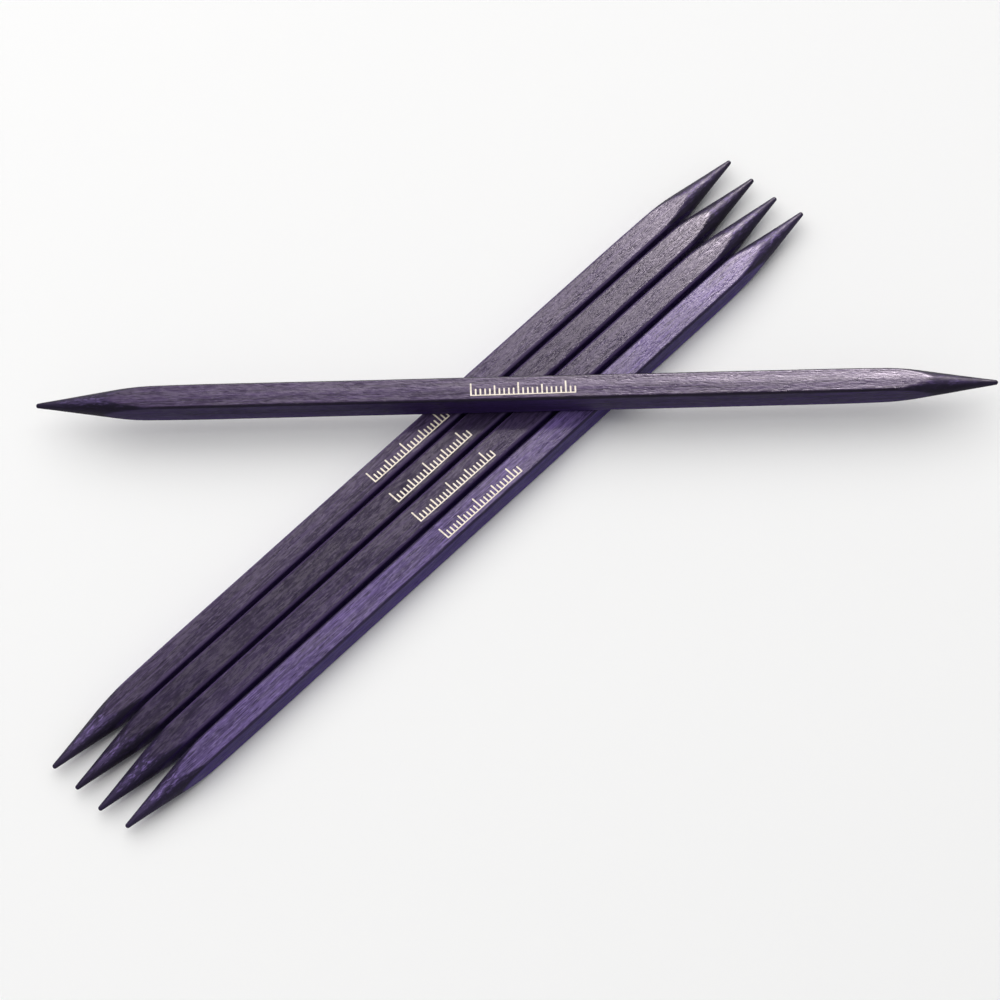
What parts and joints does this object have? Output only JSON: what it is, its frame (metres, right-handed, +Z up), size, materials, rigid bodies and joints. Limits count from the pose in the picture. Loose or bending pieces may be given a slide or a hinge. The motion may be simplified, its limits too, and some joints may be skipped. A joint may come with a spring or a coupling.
{
  "type": "double pointed needles",
  "caption": "Set of square-shafted dyed wooden double pointed knitting needles, laid side by side with one across on top.",
  "frame": {"origin": "bottom centre of the whole set's bounding box, on the surface that the needles lie on", "axes": "+X along the four needles of the bundle, +Z up; bundle_needle_1 is the one furthest towards +Y"},
  "size_m": [0.2044, 0.1422, 0.0119],
  "materials": {
    "dyed_wood": "satin",
    "size_print": "matte"
  },
  "bodies": {
    "bundle_needle_1": {"bundle_needle_1": "dyed_wood"},
    "bundle_needle_2": {"bundle_needle_2": "dyed_wood"},
    "bundle_needle_3": {"bundle_needle_3": "dyed_wood"},
    "bundle_needle_4": {"bundle_needle_4": "dyed_wood"},
    "crossing_needle": {"crossing_needle": "dyed_wood"}
  },
  "joints": [
    {"name": "bundle_needle_1_draw", "type": "slide", "parent": "bundle_needle_2", "child": "bundle_needle_1", "axis": [1, 0, 0], "range_m": [-0.21, 0.21]},
    {"name": "bundle_needle_3_draw", "type": "slide", "parent": "bundle_needle_2", "child": "bundle_needle_3", "axis": [1, 0, 0], "range_m": [-0.21, 0.21]},
    {"name": "bundle_needle_4_draw", "type": "slide", "parent": "bundle_needle_2", "child": "bundle_needle_4", "axis": [1, 0, 0], "range_m": [-0.21, 0.21]},
    {"name": "crossing_needle_lift", "type": "slide", "parent": "bundle_needle_2", "child": "crossing_needle", "axis": [0, 0, 1], "range_m": [0, 0.06]}
  ]
}
